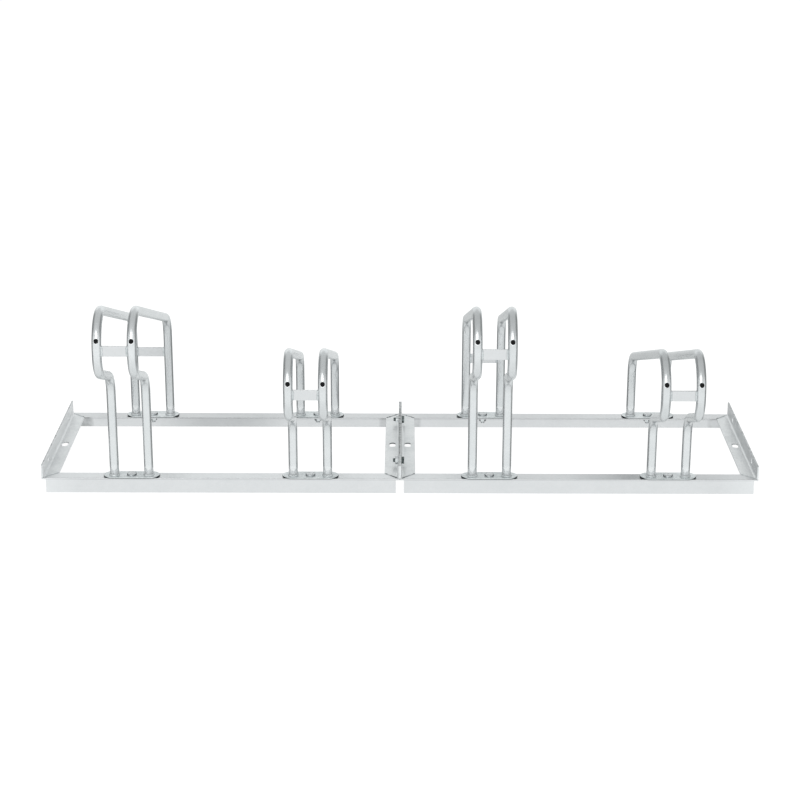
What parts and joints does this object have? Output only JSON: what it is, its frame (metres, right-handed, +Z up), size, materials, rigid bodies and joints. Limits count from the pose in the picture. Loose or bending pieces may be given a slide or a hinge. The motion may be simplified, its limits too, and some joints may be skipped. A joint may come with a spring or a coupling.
{
  "type": "floor bike rack",
  "caption": "Floor bike rack of galvanised steel angle, with high and low pairs of bent tube hoops in turn that hold the wheels on bolted foot plates.",
  "frame": {"origin": "middle of the rack's box at floor level", "axes": "+X along the rack from the high end place to the low end place, +Y from the noses to the rear rails, +Z up"},
  "size_m": [1.4, 0.5511, 0.4032],
  "materials": {
    "angle_steel": "hot-dip galvanised angle, satin",
    "tube_steel": "hot-dip galvanised tube, satin with soft shine",
    "bolt_zinc": "zinc plated fastener, satin",
    "plug_black": "black moulded plastic"
  },
  "bodies": {
    "root": {"left_front_rail": "angle_steel", "left_rear_rail": "angle_steel", "right_front_rail": "angle_steel", "right_rear_rail": "angle_steel", "left_outer_angle": "angle_steel", "left_inner_angle": "angle_steel", "right_inner_angle": "angle_steel", "right_outer_angle": "angle_steel", "left_high_left_hoop": "tube_steel", "left_high_right_hoop": "tube_steel", "left_low_left_hoop": "tube_steel", "left_low_right_hoop": "tube_steel", "right_high_left_hoop": "tube_steel", "right_high_right_hoop": "tube_steel", "right_low_left_hoop": "tube_steel", "right_low_right_hoop": "tube_steel", "left_high_front_plate": "angle_steel", "left_high_rear_plate": "angle_steel", "left_low_front_plate": "angle_steel", "left_low_rear_plate": "angle_steel", "right_high_front_plate": "angle_steel", "right_high_rear_plate": "angle_steel", "right_low_front_plate": "angle_steel", "right_low_rear_plate": "angle_steel", "left_high_front_bar": "angle_steel", "left_low_front_bar": "angle_steel", "right_high_front_bar": "angle_steel", "right_low_front_bar": "angle_steel", "left_high_rear_bar": "angle_steel", "right_high_rear_bar": "angle_steel", "foot_bolts": "bolt_zinc", "foot_washers": "bolt_zinc", "foot_nuts": "bolt_zinc", "joining_bolts": "bolt_zinc", "joining_nuts": "bolt_zinc", "nose_plugs": "plug_black"}
  },
  "joints": []
}
